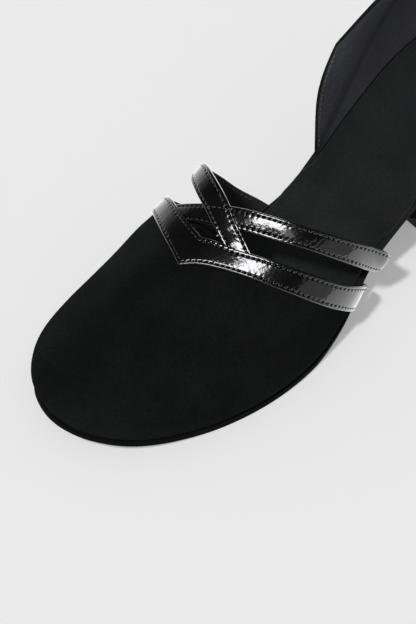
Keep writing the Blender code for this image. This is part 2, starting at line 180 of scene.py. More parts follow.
# straps from the sole to under the band: front girth, front station, rear girth, rear station, lift
OVER_STRAP = [
    (-1.0, 114.5, -1.0, 127.7, 0.0),
    (-0.8, 104.3, -0.84, 113.9, 0.0),
    (-0.5, 95.0, -0.6, 102.6, 0.4),
    (-0.24, 90.0, -0.28, 98.3, 1.3),
    (-0.06, 86.8, 0.02, 94.3, 1.3),
    (0.04, 84.7, 0.14, 90.9, 1.3),
    (0.14, 82.5, 0.25, 88.5, 0.0),
    (0.245, 82.0, 0.35, 86.9, 0.0),
]
UNDER_STRAP = [
    (1.0, 134.9, 1.0, 141.4, 0.0),
    (0.88, 127.0, 0.9, 136.8, 0.0),
    (0.72, 117.6, 0.75, 127.9, 0.0),
    (0.51, 105.6, 0.55, 115.7, 0.0),
    (0.32, 96.0, 0.36, 105.2, 0.0),
    (0.16, 89.8, 0.18, 97.5, 0.0),
    (0.02, 84.5, 0.03, 92.4, 0.0),
    (-0.14, 81.0, -0.2, 86.9, 0.0),
    (-0.31, 77.0, -0.48, 81.3, 0.0),
]
# insole edge inside the sole line: station, inner side, outer side
INSOLE_INSET = [
    (0, 1.9, 1.9),
    (130, 1.9, 1.9),
    (134, 0.3, 1.9),
    (142, 0.3, 1.9),
    (144, 0.8, 1.9),
    (149, 2.9, 0.3),
    (159, 2.9, 0.3),
    (165, 2.9, 2.9),
    (228, 2.9, 2.9),
]
# counter wall: share of height, lean at the back, lean at the sides
COUNTER_LEAN = [
    (0.0, 0.0, 0.0),
    (0.3, 2.4, 2.2),
    (0.6, 1.2, 4.2),
    (1.0, -3.5, 5.6),
]
# counter height: share of the way from the back to the front edge, height
COUNTER_TOP = [
    (0.0, 46.0),
    (0.3, 44.5),
    (0.7, 41.0),
    (1.0, 38.0),
]
# heel block: share of height, half width, front station, back station, share of the seat's shape
HEEL_ROWS = [
    (0.0, 15.8, 172.0, 206.0, 0.0),
    (0.12, 15.0, 172.4, 205.4, 0.02),
    (0.28, 15.2, 171.4, 206.0, 0.12),
    (0.44, 16.8, 168.8, 208.8, 0.38),
    (0.6, 19.3, 165.2, 213.6, 0.68),
    (0.78, 22.5, 160.9, 219.4, 0.9),
    (0.92, 24.6, 158.0, 223.6, 0.98),
    (1.0, 25.5, 156.5, 225.7, 1.0),
]
# outsole thickness: station, size
SOLE_DEPTH = [
    (95, SOLE_FRONT),
    (125, SOLE_WAIST),
    (228, SOLE_WAIST),
]
# outsole edge beyond the sole line: station, size
SOLE_MARGIN = [
    (0, 0.7),
    (110, 0.7),
    (135, 0.3),
    (160, 0.6),
    (228, 0.6),
]
# rounded edges of the sheets: distance in from the rim, distance from the upper or the lower face
OUTSOLE_UPPER_EDGE = [(3.0, 0.0), (0.7, 0.0), (0.3, 0.06), (0.08, 0.25), (0.0, 0.55)]
OUTSOLE_LOWER_EDGE = [(0.0, 0.6), (0.1, 0.25), (0.35, 0.06), (0.8, 0.0), (3.0, 0.0)]
INSOLE_UPPER_EDGE = [(6.0, 0.0), (2.5, 0.03), (1.3, 0.12), (0.6, 0.4), (0.2, 0.85), (0.03, 1.4), (0.0, 1.9)]
INSOLE_LOWER_EDGE = [(0.1, 0.1), (0.4, 0.0), (6.0, 0.0)]


def smooth(xs, ys):
    """Natural cubic through a table's rows."""
    xs = np.asarray(xs, float)
    ys = np.asarray(ys, float)
    n = len(xs)
    h = np.diff(xs)
    a = np.eye(n)
    r = np.zeros(n)
    for i in range(1, n - 1):
        a[i, i - 1:i + 2] = h[i - 1], 2 * (h[i - 1] + h[i]), h[i]
        r[i] = 6 * ((ys[i + 1] - ys[i]) / h[i] - (ys[i] - ys[i - 1]) / h[i - 1])
    m = np.linalg.solve(a, r)

    def value(x):
        x = np.clip(np.asarray(x, float), xs[0], xs[-1])
        i = np.clip(np.searchsorted(xs, x, side="right") - 1, 0, n - 2)
        u = x - xs[i]
        w = xs[i + 1] - x
        bend = (m[i] * w**3 + m[i + 1] * u**3) / (6 * h[i])
        return bend + (ys[i] / h[i] - m[i] * h[i] / 6) * w + (ys[i + 1] / h[i] - m[i + 1] * h[i] / 6) * u
    return value


def steady(xs, ys):
    """Cubic through a table's rows that never overshoots them."""
    xs = np.asarray(xs, float)
    ys = np.asarray(ys, float)
    h = np.diff(xs)
    d = np.diff(ys) / h
    m = np.zeros(len(xs))
    m[0] = d[0]
    m[-1] = d[-1]
    for i in range(1, len(xs) - 1):
        if d[i - 1] * d[i] > 0:
            w1 = 2 * h[i] + h[i - 1]
            w2 = h[i] + 2 * h[i - 1]
            m[i] = (w1 + w2) / (w1 / d[i - 1] + w2 / d[i])

    def value(x):
        x = np.clip(np.asarray(x, float), xs[0], xs[-1])
        i = np.clip(np.searchsorted(xs, x, side="right") - 1, 0, len(xs) - 2)
        t = (x - xs[i]) / h[i]
        ends = (1 + 2 * t) * (1 - t)**2 * ys[i] + t * t * (3 - 2 * t) * ys[i + 1]
        return ends + t * (1 - t)**2 * h[i] * m[i] + t * t * (t - 1) * h[i] * m[i + 1]
    return value


def closed_curve(points):
    """Closed smooth curve through points, parameter 0 to 1; also the parameter of each point."""
    p = np.asarray(points, float)
    n = len(p)
    h = np.linalg.norm(np.roll(p, -1, 0) - p, axis=1)**0.5
    t = np.concatenate([[0], np.cumsum(h)])
    a = np.zeros((n, n))
    r = np.zeros((n, 2))
    for i in range(n):
        before = (i - 1) % n
        after = (i + 1) % n
        a[i, before] += h[before]
        a[i, i] += 2 * (h[before] + h[i])
        a[i, after] += h[i]
        r[i] = 6 * ((p[after] - p[i]) / h[i] - (p[i] - p[before]) / h[before])
    m = np.linalg.solve(a, r)

    def value(s):
        s = np.asarray(s, float) % 1.0 * t[-1]
        i = np.clip(np.searchsorted(t, s, side="right") - 1, 0, n - 1)
        j = (i + 1) % n
        g = h[i][..., None]
        u = (s - t[i])[..., None]
        w = g - u
        bend = (m[i] * w**3 + m[j] * u**3) / (6 * g)
        return bend + (p[i] / g - m[i] * g / 6) * w + (p[j] / g - m[j] * g / 6) * u
    return value, t / t[-1]


def column(table, index, kind=smooth):
    rows = np.asarray(table, float)
    return kind(rows[:, 0], rows[:, index])


outer_points = [(row[2], row[0]) for row in OUTLINE]
inner_points = [(row[1], row[0]) for row in OUTLINE[::-1]]
outline, knots = closed_curve([TOE_TIP] + outer_points + [HEEL_BACK] + inner_points)
U_BACK = knots[len(OUTLINE) + 1]
bottom = column(BOTTOM, 1, steady)
(ridge_x, ridge_z, bulge_in, bulge_out, rise_in, rise_out, flat_in, flat_out) = [
    column(SECTIONS, k) for k in range(1, 9)]
foot_swell = column(FOOT_SWELL, 1, steady)
sole_thickness = column(SOLE_DEPTH, 1, steady)
sole_margin = column(SOLE_MARGIN, 1, steady)
DENSE = np.linspace(0, 1, 8001)
DENSE_POINTS = outline(DENSE)


def edge_parameter(station, side):
    """Outline parameter at a station; side +1 outer, -1 inner."""
    keep = DENSE <= U_BACK if side > 0 else DENSE >= U_BACK
    order = np.argsort(DENSE_POINTS[keep][:, 1])
    return np.interp(station, DENSE_POINTS[keep][order, 1], DENSE[keep][order])


def unit(vectors):
    return vectors / np.linalg.norm(vectors, axis=-1, keepdims=True)


def outward(u):
    t = unit(outline(u + OUTLINE_STEP) - outline(u - OUTLINE_STEP))
    return np.stack([t[..., 1], -t[..., 0]], -1)


def ridge_station(y):
    k = FULL / (FULL - POLE)
    near = POLE + (FULL - POLE) * (np.clip(y, 0, FULL) / FULL)**k
    return np.where(y < FULL, near, y)


def rib(u, v):
    """Last surface: outline parameter u, share v of the rib from the sole line to the ridge."""
    u, v = np.broadcast_arrays(np.asarray(u, float), np.asarray(v, float))
    foot = outline(u)
    n = outward(u)
    y = foot[..., 1]
    outer = (u % 1.0) <= U_BACK
    bulge = np.where(outer, bulge_out(y), bulge_in(y))
    rise = np.where(outer, rise_out(y), rise_in(y))
    flat = np.where(outer, flat_out(y), flat_in(y))
    top = ridge_station(y)
    slope = ridge_z(top + 0.5) - ridge_z(top - 0.5)
    p0 = np.stack([foot[..., 0], y, bottom(y) + GAP], -1)
    p3 = np.stack([ridge_x(top), top, ridge_z(top)], -1)
    height = p3[..., 2] - p0[..., 2]
    p1 = p0 + np.stack([n[..., 0] * bulge, n[..., 1] * bulge, rise * height], -1)
    d = (p0 - p3) * flat[..., None]
    p2 = p3 + np.stack([d[..., 0], d[..., 1], d[..., 1] * slope], -1)
    w = v[..., None]
    swell = np.where(outer, foot_swell(y), 0.0) * v / SWELL_PEAK * np.exp(1 - v / SWELL_PEAK)
    lift = np.stack([n[..., 0] * swell, n[..., 1] * swell, 0 * swell], -1)
    return lift + (1 - w)**3 * p0 + 3 * (1 - w)**2 * w * p1 + 3 * (1 - w) * w**2 * p2 + w**3 * p3


def last_point(station, girth):
    station, girth = np.broadcast_arrays(np.asarray(station, float), np.asarray(girth, float))
    u = np.where(girth >= 0, edge_parameter(station, 1), edge_parameter(station, -1))
    return rib(u, 1 - np.abs(girth))


def last_normal(station, girth):
    along_foot = last_point(station + SLOPE_STEP, girth) - last_point(station - SLOPE_STEP, girth)
    up = np.clip(girth + GIRTH_STEP, -1, 1)
    down = np.clip(girth - GIRTH_STEP, -1, 1)
    return unit(np.cross(last_point(station, up) - last_point(station, down), along_foot))


def lifted(station, girth, lift):
    """Last surface moved out along its normal."""
    return last_point(station, girth) + last_normal(station, girth) * np.asarray(lift, float)[..., None]


def band_edges(girth):
    out = []
    for index in (1, 2):
        inner = column(BAND_INNER, index, steady)(girth)
        outer = column(BAND_OUTER, index, steady)(girth)
        out.append(np.where(np.asarray(girth) < 0, inner, outer))
    return out


def throat(girth):
    front, rear = band_edges(girth)
    return front + THROAT_LAP * (rear - front)


def world(points):
    p = np.asarray(points, float).reshape(-1, 3)
    return (p - np.array([ORIGIN_X, ORIGIN_Y, -SOLE_FRONT])) * MM


# materials


PATTERN_SHIFT = (0.37, 0.21, 0.53)  # sets one noise apart from another


class Nodes:
    """Short way to wire a material or a world: values are numbers, colours or sockets."""

    def __init__(self, owner, shader="Principled BSDF"):
        owner.use_nodes = True
        self.owner = owner
        self.tree = owner.node_tree
        self.shader = self.tree.nodes[shader]

    def add(self, kind, values=None, **settings):
        node = self.tree.nodes.new(kind)
        for key, value in settings.items():
            setattr(node, key, value)
        for key, value in (values or {}).items():
            self.put(node.inputs[key], value)
        return node

    def put(self, socket, value):
        if isinstance(value, bpy.types.NodeSocket):
            self.tree.links.new(value, socket)
        elif isinstance(value, tuple) and len(value) == 3 and socket.type == "RGBA":
            socket.default_value = value + (1.0,)
        else:
            socket.default_value = value

    def set(self, **values):
        for key, value in values.items():
            self.put(self.shader.inputs[key.replace("_", " ")], value)

    def place(self):
        return self.add("ShaderNodeTexCoord").outputs["Object"]

    def axes(self, place):
        return self.add("ShaderNodeSeparateXYZ", {"Vector": place}).outputs

    def noise(self, scale, detail=3.0, rough=0.5, place=None):
        values = {"Vector": place or self.place(), "Scale": scale, "Detail": detail, "Roughness": rough}
        return self.add("ShaderNodeTexNoise", values).outputs["Fac"]

    def span(self, value, low, high, start=0.3, stop=0.7):
        values = {"Value": value, "From Min": start, "From Max": stop, "To Min": low, "To Max": high}
        return self.add("ShaderNodeMapRange", values).outputs["Result"]

    def ramp(self, value, start, stop):
        values = {"Value": value, "From Min": start, "From Max": stop}
        return self.add("ShaderNodeMapRange", values, interpolation_type="SMOOTHSTEP").outputs["Result"]

    def window(self, value, rise, fall):
        """1 between two soft steps, 0 outside them."""
        return self.math("MULTIPLY", self.span(value, 0.0, 1.0, *rise), self.span(value, 1.0, 0.0, *fall))

    def blend(self, share, first, second):
        """Mix of two colours, through the node's colour sockets."""
        values = {"Factor": share, 6: first, 7: second}
        return self.add("ShaderNodeMix", values, data_type="RGBA").outputs[2]

    def math(self, kind, first, second):
        return self.add("ShaderNodeMath", {0: first, 1: second}, operation=kind).outputs[0]

    def shift(self, place):
        return self.add("ShaderNodeVectorMath", {0: place, 1: PATTERN_SHIFT}, operation="ADD").outputs[0]

    def scale(self, colour, factor):
        return self.add("ShaderNodeVectorMath", {0: colour, "Scale": factor}, operation="SCALE").outputs[0]

    def bump(self, height, strength, distance, normal=None):
        node = self.add("ShaderNodeBump", {"Height": height, "Strength": strength, "Distance": distance})
        if normal is not None:
            self.put(node.inputs["Normal"], normal)
        return node.outputs["Normal"]


def material(name):
    return Nodes(bpy.data.materials.new(name))


def brighter(tint, factor):
    return tuple(factor * c for c in tint)


# where painted light and shade on the leather change, in world metres: start, end
UNDER_STRAPS = (-0.005, 0.032)   # y, from the straps to the open waist: painted light under the straps, where they shade the surface
SEAT_SLOPE = 1.275               # rise of the heel seat along y
SEAT_FOOT = (-0.0235, -0.0195)   # height over that slope, below and above the crease that takes painted shade
SEAT_HEAD = (-0.0185, -0.0125)
INNER_SHEEN_SIDE = (-0.036, -0.016)    # x of the painted sheen along the inner side
SPRING_START = 0.061             # distance before the middle where the toe starts to rise
SPRING_CURVE = 2.04              # its rise against the square of the distance beyond
RIM_HEIGHT = (0.0035, 0.0145)    # height over that rise, for the painted light at the lower rim
RIM_OUTSIDE = (-0.024, -0.006)   # x of that painted light
# colour factors of the cool and the warm patches
COOL = (1.10, 1.06, 1.28)
WARM = (1.30, 1.04, 1.02)
SHEEN_TINT = (0.9, 0.92, 1.0)


def nap_leather(name, dark, light, grain=1600.0, sheen=0.10, rough=0.88, level=0.2, under_strap_light=1.0, seat=1.0,
                inner=1.0, rim=1.0, hue=0.7):
    """Fine brushed nap: mottled colour with pale specks, soft rim sheen, fibrous bump.

    under_strap_light: factor of painted light under the straps, where they shade the surface;
    seat: factor of painted shade in the crease above the heel seat;
    inner: factor of painted sheen along the inner side; rim: factor of painted light at the lower edge,
    outside and in front; hue: how far the patches turn cool or warm.
    """
    m = material(name)
    place = m.place()
    patches = m.noise(55.0, 4.0, 0.6, place)
    fibres = m.noise(grain, 2.0, 0.6, place)
    both = m.blend(0.45, m.span(patches, 0.0, 1.0), m.span(fibres, 0.0, 1.0))
    shade = m.blend(both, dark, light)
    middle = [(a + b) / 2 for a, b in zip(dark, light)]
    cool = m.span(m.noise(95.0, 3.0, 0.6, place), 0.0, hue, 0.52, 0.68)
    shade = m.blend(cool, shade, tuple(c * factor for c, factor in zip(middle, COOL)))
    warm = m.span(m.noise(120.0, 3.0, 0.6, m.shift(place)), 0.0, hue, 0.55, 0.70)
    shade = m.blend(warm, shade, tuple(c * factor for c, factor in zip(middle, WARM)))
    shade = m.scale(shade, m.span(m.noise(26.0, 2.0, 0.5, place), 0.84, 1.16))
    shade = m.scale(shade, m.span(m.noise(850.0, 3.0, 0.7, place), 0.76, 1.24))
    specks = m.span(m.noise(1500.0, 1.0, 0.5, place), 0.0, 0.3, 0.70, 0.78)
    shade = m.blend(specks, shade, brighter(light, 2.6))
    x, y, z = m.axes(place)
    # painted light: lighter under the straps, where their shade falls
    if under_strap_light != 1.0:
        shade = m.scale(shade, m.span(y, under_strap_light, 1.0, *UNDER_STRAPS))
    # painted shade: darker in the crease where the lining curves down to the heel seat
    if seat != 1.0:
        height = m.math("SUBTRACT", z, m.math("MULTIPLY", y, SEAT_SLOPE))
        crease = m.window(height, SEAT_FOOT, SEAT_HEAD)
        shade = m.scale(shade, m.span(crease, 1.0, seat, 0.0, 1.0))
    # painted sheen: the inner side lighter, where it catches grazing light
    if inner != 1.0:
        shade = m.scale(shade, m.span(x, inner, 1.0, *INNER_SHEEN_SIDE))
    # painted light: the lower outer rim made lighter
    if rim != 1.0:
        spring = m.math("MINIMUM", m.math("ADD", y, SPRING_START), 0.0)
        spring = m.math("MULTIPLY", m.math("MULTIPLY", spring, spring), SPRING_CURVE)
        height = m.math("SUBTRACT", z, spring)
        low = m.math("MULTIPLY", m.span(height, 1.0, 0.0, *RIM_HEIGHT), m.span(x, 0.0, 1.0, *RIM_OUTSIDE))
        shade = m.scale(shade, m.span(low, 1.0, rim, 0.0, 1.0))
    m.set(Base_Color=shade, Roughness=m.span(fibres, rough - 0.06, rough + 0.06), Specular_IOR_Level=level)
    m.set(Sheen_Weight=sheen, Sheen_Roughness=0.45, Sheen_Tint=SHEEN_TINT)
    normal = m.bump(fibres, 0.35, 0.00012)
    m.set(Normal=m.bump(patches, 0.10, 0.0006, normal))
    return m.owner


# folds of the rear strap and calmer outer ends of the straps, in world metres
FOLDS_FROM = (0.016, 0.021)      # x
FOLDS_TO = (0.024, 0.028)
FOLDS_BEHIND = (-0.012, -0.005)  # y
CALM_ENDS = (0.025, 0.032)       # x


def patent(name, tint):
    """Lacquered strap leather: deep black under a wavy clear coat with a fine crinkle."""
    m = material(name)
    place = m.place()
    waves = m.noise(150.0, 2.0, 0.5, place)
    crinkle = m.noise(900.0, 3.0, 0.6, place)
    shade = m.blend(m.span(waves, 0.0, 1.0), tint, brighter(tint, 2.2))
    m.set(Base_Color=shade, Roughness=m.span(crinkle, 0.16, 0.26), Specular_IOR_Level=0.2)
    m.set(Coat_Weight=1.0, Coat_Roughness=0.035, Coat_IOR=1.6)
    x, y, _ = m.axes(place)
    flexed = m.math("MULTIPLY", m.window(x, FOLDS_FROM, FOLDS_TO), m.span(y, 0.0, 1.0, *FOLDS_BEHIND))
    folds = m.add("ShaderNodeTexWave", {"Vector": place, "Scale": 210.0, "Distortion": 5.0, "Detail": 2.0,
                                        "Detail Scale": 2.0}).outputs["Fac"]
    normal = m.bump(m.math("MULTIPLY", folds, flexed), 0.3, 0.00018)
    calm = m.span(x, 1.0, 0.25, *CALM_ENDS)
    normal = m.bump(m.math("MULTIPLY", waves, calm), 0.25, 0.0008, normal)
    normal = m.bump(m.math("MULTIPLY", crinkle, calm), 0.40, 0.00012, normal)
    m.set(Normal=normal, Coat_Normal=normal)
    return m.owner


# stretches of the sole's edge in world metres, and their colours
LIT_TOE_INNER = (-0.028, -0.006)    # x and y of the inner toe, where the edge catches the light: painted highlight
LIT_TOE_FRONT = (-0.09, -0.06)
LIT_TOE_TINT = (0.0150, 0.0156, 0.0205)
PALE_WAIST_FROM = (0.002, 0.010)       # y of the paler stretch along the waist
PALE_WAIST_TO = (0.045, 0.055)
GAP_LIGHT_INNER = (-0.018, -0.014)    # x and y of the painted light behind it on the inner side, in the shaded gap by the counter
GAP_LIGHT_REAR = (0.030, 0.034)
PALE_AND_GAP_TINT = (0.0200, 0.0206, 0.0222)


def edge_paint(name, dark, light):
    """Painted sole edge with fine dents and a paler waist; painted highlight at the inner toe,
    and painted light in the shaded gap beside the counter on the inner side.
    """
    m = material(name)
    place = m.place()
    dents = m.noise(420.0, 4.0, 0.6, place)
    x, y, _ = m.axes(place)
    # painted highlight: the inner toe's edge catches the light
    lit_toe_edge = m.math("MULTIPLY", m.span(x, 1.0, 0.0, *LIT_TOE_INNER), m.span(y, 1.0, 0.0, *LIT_TOE_FRONT))
    pale_and_gap_light = m.window(y, PALE_WAIST_FROM, PALE_WAIST_TO)
    # painted light: lifts the shade in the narrow gap between insole and counter on the inner side
    inside = m.math("MULTIPLY", m.span(x, 1.0, 0.0, *GAP_LIGHT_INNER), m.span(y, 0.0, 1.0, *GAP_LIGHT_REAR))
    pale_and_gap_light = m.math("MAXIMUM", pale_and_gap_light, inside)
    shade = m.blend(m.span(dents, 0.0, 1.0), dark, light)
    shade = m.blend(lit_toe_edge, shade, LIT_TOE_TINT)
    shade = m.blend(pale_and_gap_light, shade, PALE_AND_GAP_TINT)
    m.set(Base_Color=shade, Roughness=m.span(dents, 0.5, 0.7), Specular_IOR_Level=0.01)
    m.set(Normal=m.bump(dents, 0.2, 0.0002))
    return m.owner


def thread(name, tint):
    """Waxed thread with a fine twist."""
    m = material(name)
    twist = m.noise(3200.0, 1.0, 0.5)
    m.set(Base_Color=m.blend(m.span(twist, 0.0, 1.0), tint, brighter(tint, 2.5)))
    m.set(Roughness=m.span(twist, 0.16, 0.28), Normal=m.bump(twist, 0.2, 0.0001))
    m.set(Coat_Weight=1.0, Coat_Roughness=0.12)
    return m.owner


def lacquer(name, tint):
    """Matt lacquer with faint waves."""
    m = material(name)
    waves = m.noise(90.0, 2.0, 0.5)
    m.set(Base_Color=m.blend(m.span(waves, 0.0, 1.0), tint, brighter(tint, 1.8)))
    m.set(Roughness=m.span(waves, 0.4, 0.5), Normal=m.bump(waves, 0.08, 0.0005), Specular_IOR_Level=0.0)
    return m.owner


def rubber(name, tint, level=0.5):
    """Gritty matt rubber; near black and without reflection it is the painted shade inside the needle holes.
    """
    m = material(name)
    grit = m.noise(1500.0, 2.0, 0.6)
    m.set(Base_Color=m.blend(m.span(grit, 0.0, 1.0), tint, brighter(tint, 1.5)), Specular_IOR_Level=level)
    m.set(Roughness=m.span(grit, 0.65, 0.8), Normal=m.bump(grit, 0.25, 0.0002))
    return m.owner


# vamp: painted sheen along the inner side and painted light at the lower outer rim
NAP = nap_leather("vamp_nap", (0.0064, 0.0073, 0.0069), (0.0112, 0.0126, 0.0119), grain=2600.0, sheen=0.004,
                  level=0.0, inner=2.2, rim=1.35, hue=0.2)
# lining: painted shade in the crease above the heel seat
LINING = nap_leather("lining", (0.0440, 0.0452, 0.0525), (0.066, 0.0680, 0.0775), grain=1800.0, rough=0.9,
                     seat=0.5)
# insole: painted light under the straps, where they shade it
BED = nap_leather("insole_suede", (0.0070, 0.0081, 0.0078), (0.0158, 0.0177, 0.0172), rough=0.92, under_strap_light=2.2)
STRAP_BACK = nap_leather("strap_backing", (0.0245, 0.0253, 0.025), (0.038, 0.0388, 0.0384), grain=2200.0,
                         sheen=0.08)
SUEDE_SOLE = nap_leather("sole_suede", (0.030, 0.029, 0.028), (0.055, 0.053, 0.050), sheen=0.15, rough=0.95)
PATENT = patent("strap_patent", (0.0022, 0.0022, 0.0024))
EDGE = edge_paint("sole_edge", (0.0045, 0.0046, 0.0050), (0.0075, 0.0076, 0.0082))
THREAD = thread("stitch_thread", (0.004, 0.004, 0.0045))
LINING_THREAD = thread("lining_thread", (0.05, 0.05, 0.053))
# near-black lining of the needle holes: painted shade
HOLE = rubber("needle_hole", (0.0008, 0.0008, 0.0008), 0.0)
HEEL_COAT = lacquer("heel_lacquer", (0.004, 0.0045, 0.004))
TIP_RUBBER = rubber("tip_rubber", (0.014, 0.014, 0.014))


# mesh building


def new_object(name, data):
    obj = bpy.data.objects.new(name, data)
    bpy.context.scene.collection.objects.link(obj)
    return obj


def add_piece(name, points, faces, materials, replaced=(), smooth_angle=None, indices=None):
    mesh = bpy.data.meshes.new(name)
    mesh.from_pydata(world(points).tolist(), [], faces)
    for mat in materials:
        mesh.materials.append(mat)
    if indices is not None:
        mesh.polygons.foreach_set("material_index", np.asarray(indices, np.int32))
    mesh.polygons.foreach_set("use_smooth", np.ones(len(mesh.polygons), bool))
    mesh.update()
    if smooth_angle is not None:
        mesh.set_sharp_from_angle(angle=math.radians(smooth_angle))
    obj = new_object(name, mesh)
    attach(obj, "root")
    if replaced:
        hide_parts(*replaced)
    return obj


def quads(rows, cols, wrap=False):
    faces = []
    for j in range(rows - 1):
        for i in range(cols if wrap else cols - 1):
            k = (i + 1) % cols
            faces.append((j * cols + i, j * cols + k, (j + 1) * cols + k, (j + 1) * cols + i))
    return faces


def wall(obj, thickness):
    mod = obj.modifiers.new("wall", "SOLIDIFY")
    mod.thickness = thickness * MM
    mod.offset = -1.0
    mod.use_even_offset = True
    mod.use_quality_normals = True
    mod.material_offset = 1


def round_edges(obj, name, width, angle):
    mod = obj.modifiers.new(name, "BEVEL")
    mod.width = width * MM
    mod.segments = 3
    mod.limit_method = "ANGLE"
    mod.angle_limit = math.radians(angle)


EDGE_SEAT = 0.03         # gap left where the lower edge of the vamp settles on the sole


def make_vamp(per_side=96, rows=50):
    share = np.linspace(1, 0, per_side + 1)**TOE_CROWDING
    points = []
    for v in np.linspace(0, 1, rows):
        outer = throat(1 - v) * share
        inner = throat(v - 1) * share[::-1][1:]
        u = np.concatenate([edge_parameter(outer, 1), edge_parameter(inner, -1)])
        u[per_side] = 0.0
        points.append(rib(u, v))
    points = np.array(points)
    points[0, :, 2] -= GAP - EDGE_SEAT
    cols = 2 * per_side + 1
    used = {}
    order = []
    index = np.zeros((rows, cols), int)
    for j in range(rows):
        for i in range(cols):
            key = (j, i)
            if j == rows - 1:
                mirror = min(i, cols - 1 - i)
                key = (j, mirror if share[mirror] * throat(0.0) > POLE_MERGE else per_side)
            if key not in used:
                used[key] = len(order)
                order.append(points[j, i])
            index[j, i] = used[key]
    faces = []
    for j in range(rows - 1):
        for i in range(cols - 1):
            face = [index[j, i + 1], index[j, i], index[j + 1, i], index[j + 1, i + 1]]
            faces.append(tuple(dict.fromkeys(int(k) for k in face)))
    obj = add_piece("vamp_leather", order, faces, [NAP, LINING], ["vamp"])
    wall(obj, VAMP_WALL)


# points of a strap's section: distance from either edge of its face, share of the width and rise of its back
EDGE_OFFSETS = np.array([0.0, 0.06, 0.18, 0.36, 0.58, 0.82, 1.04, 1.2, 1.35, 1.5, 1.65, 1.8, 1.96, 2.25, 2.7])
BACK_SHARE = np.array([1.0, 0.97, 0.9, 0.65, 0.35, 0.1, 0.03, 0.0])
BACK_RISE = np.array([0.25, 0.06, 0.0, 0.0, 0.0, 0.0, 0.06, 0.25])
MIDDLE_POINTS = 7        # further points across the face
GROOVE_DEPTH = 0.22      # channel that the stitches lie in
GROOVE_HALF = 0.26
PIT_DEPTH = 0.30         # needle holes between them
PIT_SHARPNESS = 5        # power that narrows them
PUCKER_DEPTH = 0.10      # dips of the leather beside each needle hole
# dips: distance from the edge, half width, share of the depth
PUCKERS = [(0.98, 0.26, 1.0), (2.25, 0.38, 0.7)]
HOLE_HALF = 0.42         # half width of a needle hole
HOLE_FROM = 0.45         # share of its depth from which its inside takes the painted shade
RIM_RADIUS = 0.62        # rounded edges of the face
CROWN = 0.08             # rise of the face between its stitch rows
SECTION_STEP = 0.34      # spacing of a strap's sections
BAND_SAMPLES = 400       # points of a drafted line before it is spaced evenly
STRAP_SAMPLES = 600


def strap_face(x, width, pits):
    """Height of a strap's face below its thickness at distance x from the nearer edge."""
    inside = np.clip(RIM_RADIUS**2 - (RIM_RADIUS - x)**2, 0, None)
    rounded = np.where(x < RIM_RADIUS, np.sqrt(inside) - RIM_RADIUS, 0.0)
    groove = np.exp(-((x - STITCH_INSET) / GROOVE_HALF)**2)
    crown = CROWN * np.clip((x - STITCH_INSET) / (width / 2 - STITCH_INSET), 0, 1)**0.6
    pucker = sum(share * np.exp(-((x - place) / half)**2) for place, half, share in PUCKERS)
    return rounded - (GROOVE_DEPTH + PIT_DEPTH * pits) * groove - PUCKER_DEPTH * pits * pucker + crown


def path_length(points):
    return np.concatenate([[0], np.cumsum(np.linalg.norm(np.diff(points, axis=0), axis=1))])


def along(at, length, values):
    """Rows of values at distances along a path."""
    return np.stack([np.interp(at, length, values[:, k]) for k in range(3)], -1)


def even_steps(columns, middle):
    """Resample columns so that their middle line advances in equal steps."""
    length = path_length(middle)
    at = np.linspace(0, length[-1], int(length[-1] / SECTION_STEP) + 1)
    return [np.interp(at, length, values) for values in columns]


def stitch_count(length):
    return int(length / STITCH_PITCH)


class Strap:
    """Band on the last between a front and a rear line of girth and station."""

    def __init__(self, front_girth, front_station, rear_girth, rear_station, lift):
        self.front_girth = front_girth
        self.front_station = front_station
        self.rear_girth = rear_girth
        self.rear_station = rear_station
        self.lift = lift
        middle = self.at(0.5)
        run = unit(np.gradient(middle, axis=0))
        self.width = np.linalg.norm(np.cross(self.at(1.0) - self.at(0.0), run), axis=1)

    def place(self, share):
        station = self.front_station + (self.rear_station - self.front_station) * share
        return station, self.front_girth + (self.rear_girth - self.front_girth) * share

    def at(self, share):
        return last_point(*self.place(share))

    def stitch_line(self, edge, height=-GROOVE_DEPTH):
        """Points and normals of a stitch row; edge 0 is the front one, 1 the rear."""
        share = STITCH_INSET / self.width
        station, girth = self.place(1 - share if edge else share)
        return lifted(station, girth, self.lift + height), last_normal(station, girth)

    def pits(self, edge):
        length = path_length(self.stitch_line(edge)[0])
        wave = np.cos(np.pi * length * stitch_count(length[-1]) / length[-1])
        return np.abs(wave)**PIT_SHARPNESS


def ribbon(name, strap, thick, replaced):
    n = len(strap.lift)
    width = strap.width[:, None]
    middle = np.linspace(0, 1, MIDDLE_POINTS + 2)[1:-1]
    inset = EDGE_OFFSETS[-1]
    face_x = np.concatenate([
        np.broadcast_to(EDGE_OFFSETS, (n, len(EDGE_OFFSETS))),
        inset + (width - 2 * inset) * middle,
        width - EDGE_OFFSETS[::-1]], axis=1)
    near = np.minimum(face_x, width - face_x)
    pits = np.where(face_x < width / 2, strap.pits(0)[:, None], strap.pits(1)[:, None])
    face_lift = strap_face(near, width, pits) + strap.lift[:, None]
    back_x = width * BACK_SHARE
    back_lift = strap.lift[:, None] - thick + np.broadcast_to(BACK_RISE, back_x.shape)
    share = np.concatenate([face_x, back_x], axis=1) / width
    lift = np.concatenate([face_lift, back_lift], axis=1)
    station, girth = [grid.T for grid in strap.place(share.T)]
    points = lifted(station, girth, lift)
    cols = share.shape[1]
    faces = quads(n, cols, wrap=True)
    backs = set(range(face_x.shape[1], cols - 1))
    indices = [1 if k % cols in backs else 0 for k in range(len(faces))]
    # faces inside the needle holes take the near-black material: painted shade
    hole = (pits > HOLE_FROM) & (np.abs(near - STITCH_INSET) < HOLE_HALF)
    for j, i in zip(*np.nonzero(hole[:-1])):
        indices[j * cols + i] = 2
    flip = strap.front_girth[0] < strap.front_girth[-1]
    if flip:
        faces = [face[::-1] for face in faces]
    for start, turn in ((0, flip), ((n - 1) * cols, not flip)):
        cap = tuple(range(start, start + cols))
        faces.append(cap if turn else cap[::-1])
        indices.append(0)
    materials = [PATENT, STRAP_BACK, HOLE]
    return add_piece(name, points.reshape(-1, 3), faces, materials, replaced, indices=indices)


